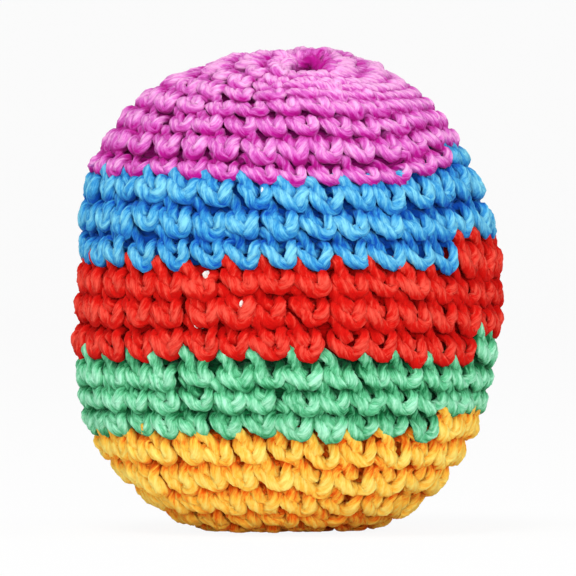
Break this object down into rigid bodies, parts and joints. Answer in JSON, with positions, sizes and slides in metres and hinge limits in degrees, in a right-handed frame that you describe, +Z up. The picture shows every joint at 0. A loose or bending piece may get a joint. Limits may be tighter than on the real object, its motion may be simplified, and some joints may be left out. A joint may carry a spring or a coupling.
{
  "type": "footbag",
  "caption": "Round crocheted kicking bag in stripes of coloured yarn, filled with pellets in a cloth liner.",
  "frame": {"origin": "centre of the box's underside, on the surface the bag stands on", "axes": "+Z up through the crown, the longest way; the closing ring and the colours' steps face the front, -Y"},
  "size_m": [0.0559, 0.0559, 0.064],
  "materials": {
    "yellow_yarn": "soft plied yarn",
    "green_yarn": "soft plied yarn",
    "red_yarn": "soft plied yarn",
    "blue_yarn": "soft plied yarn",
    "pink_yarn": "soft plied yarn",
    "liner_cloth": "plain woven cotton",
    "tie_thread": "cotton thread",
    "pellet_plastic": "smooth, slightly shiny"
  },
  "bodies": {
    "root": {"blue_band": "blue_yarn", "blue_join_knot": "blue_yarn", "closing_knot": "pink_yarn", "closing_ring": "pink_yarn", "green_band": "green_yarn", "green_join_knot": "green_yarn", "liner_bag": "liner_cloth", "liner_tie": "tie_thread", "pellet_01": "pellet_plastic", "pellet_02": "pellet_plastic", "pellet_03": "pellet_plastic", "pellet_04": "pellet_plastic", "pellet_05": "pellet_plastic", "pellet_06": "pellet_plastic", "pellet_07": "pellet_plastic", "pellet_08": "pellet_plastic", "pellet_09": "pellet_plastic", "pellet_10": "pellet_plastic", "pellet_11": "pellet_plastic", "pellet_12": "pellet_plastic", "pellet_13": "pellet_plastic", "pellet_14": "pellet_plastic", "pellet_15": "pellet_plastic", "pellet_16": "pellet_plastic", "pellet_17": "pellet_plastic", "pellet_18": "pellet_plastic", "pellet_19": "pellet_plastic", "pellet_20": "pellet_plastic", "pellet_21": "pellet_plastic", "pellet_22": "pellet_plastic", "pellet_23": "pellet_plastic", "pellet_24": "pellet_plastic", "pellet_25": "pellet_plastic", "pellet_26": "pellet_plastic", "pellet_27": "pellet_plastic", "pellet_28": "pellet_plastic", "pellet_29": "pellet_plastic", "pellet_mass": "pellet_plastic", "pink_crown": "pink_yarn", "pink_join_knot": "pink_yarn", "red_band": "red_yarn", "red_join_knot": "red_yarn", "starting_ring": "yellow_yarn", "starting_tail": "yellow_yarn", "yellow_base": "yellow_yarn"}
  },
  "joints": []
}
